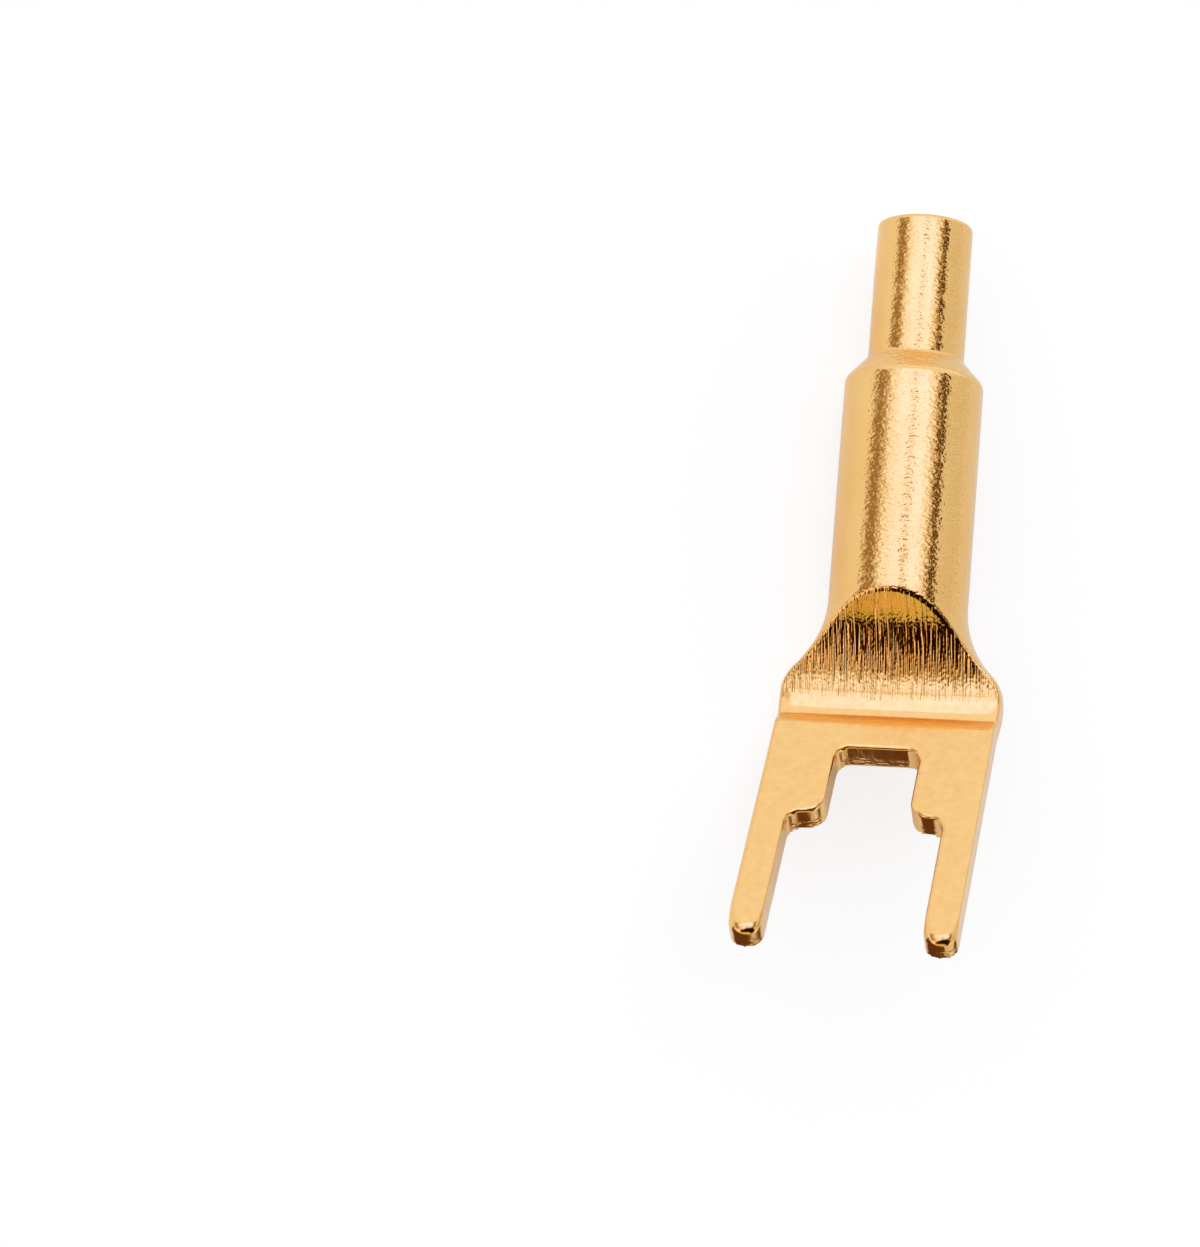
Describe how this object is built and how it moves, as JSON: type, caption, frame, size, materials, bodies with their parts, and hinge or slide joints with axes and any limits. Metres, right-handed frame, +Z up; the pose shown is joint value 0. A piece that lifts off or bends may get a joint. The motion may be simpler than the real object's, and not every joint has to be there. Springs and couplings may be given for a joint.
{
  "type": "spade terminal",
  "caption": "Gold-plated spade terminal with a bored round wire neck, a thicker barrel, a pressed web, and a stepped open fork bent upwards.",
  "frame": {"origin": "under the middle of the lying terminal's bounding box, on the ground it rests on", "axes": "+Y along the barrel towards the wire end, +Z up from the ground, the fork towards -Y"},
  "size_m": [0.0125, 0.0328, 0.0123],
  "materials": {
    "gold_plated_brass": "polished gold plating, satin on the fork's faces"
  },
  "bodies": {
    "root": {"terminal_body": "gold_plated_brass"}
  },
  "joints": []
}
